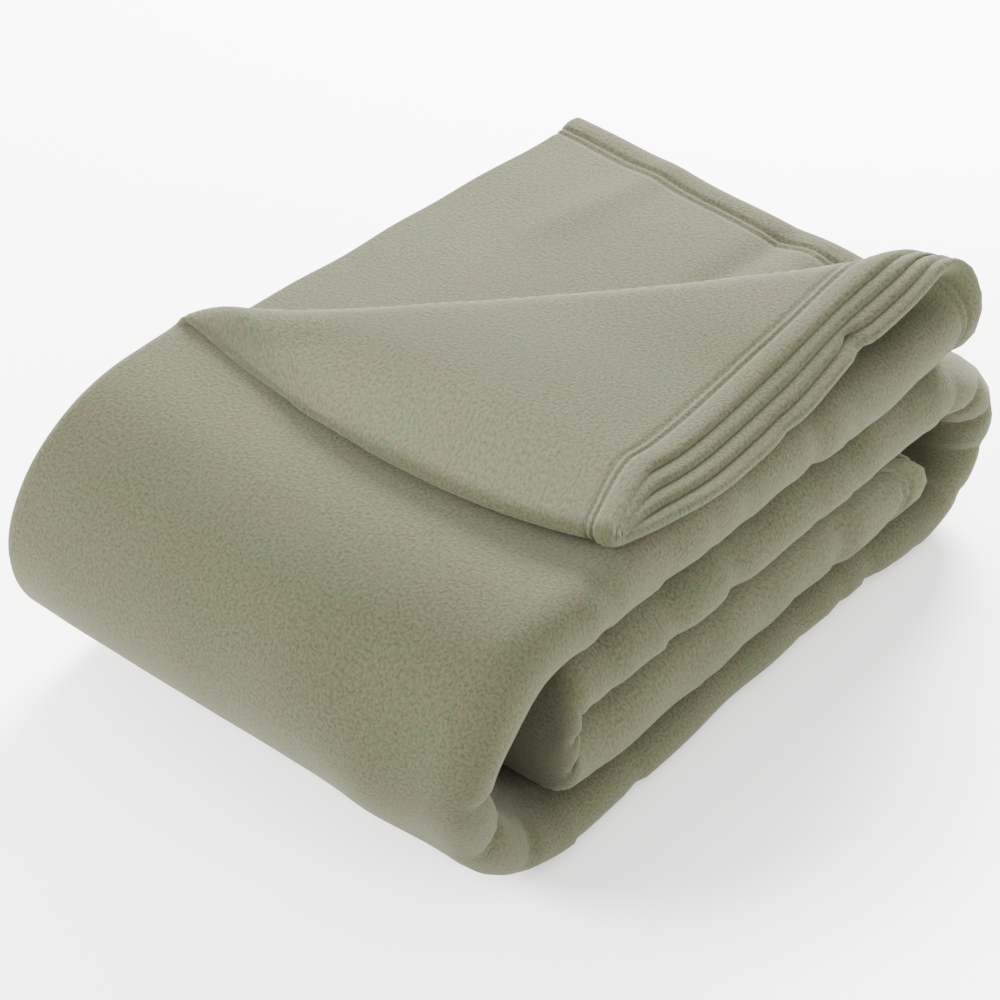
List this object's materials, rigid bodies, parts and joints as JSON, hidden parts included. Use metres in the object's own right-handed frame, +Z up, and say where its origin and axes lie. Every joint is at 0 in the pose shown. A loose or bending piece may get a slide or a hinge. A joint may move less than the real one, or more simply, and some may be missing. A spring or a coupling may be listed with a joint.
{
  "type": "camp blanket",
  "caption": "Soft fleece camp blanket folded and rolled into a flat bundle, with its top leaf's corner turned back to show the stitched hem.",
  "frame": {"origin": "on the ground under the middle of the bundle's outline", "axes": "+X across the rolled strip, towards its creased side; +Y along the strip, from the front turn to the back turn; +Z up"},
  "size_m": [0.286, 0.436, 0.1785],
  "materials": {
    "fleece": "brushed sage-green polar fleece",
    "hem_fleece": "the same fleece, turned and stitched down",
    "sewing_thread": "matching polyester sewing thread"
  },
  "bodies": {
    "bundle": {"bottom_leaf": "fleece", "bottom_side_hem": "hem_fleece", "inner_leaf": "fleece", "inner_side_hem": "hem_fleece", "inner_end_hem": "hem_fleece", "middle_leaf": "fleece", "middle_side_hem": "hem_fleece", "front_turn": "fleece", "back_turn": "fleece", "inner_turn": "fleece"},
    "top_leaf": {"top_lower_plies": "fleece", "top_side_hem": "hem_fleece", "top_end_hem": "hem_fleece", "top_upper_plies": "fleece", "top_crease": "fleece", "top_end_stitching_outer": "sewing_thread", "top_end_stitching_inner": "sewing_thread"},
    "corner": {"corner_plies": "fleece", "corner_hem": "hem_fleece", "corner_roll": "fleece", "corner_stitching_outer": "sewing_thread", "corner_stitching_inner": "sewing_thread"}
  },
  "joints": [
    {"name": "top_leaf_fold", "type": "hinge", "parent": "bundle", "child": "top_leaf", "pos_m": [0, -0.22, 0.092], "axis": [1, 0, 0], "range_deg": [0, 178], "deforming": ["front_turn"]},
    {"name": "corner_fold", "type": "hinge", "parent": "top_leaf", "child": "corner", "pos_m": [0, 0.024, 0.15115], "axis": [-0.7071, -0.7071, 0], "range_deg": [0, 170], "deforming": ["corner_roll"]}
  ]
}
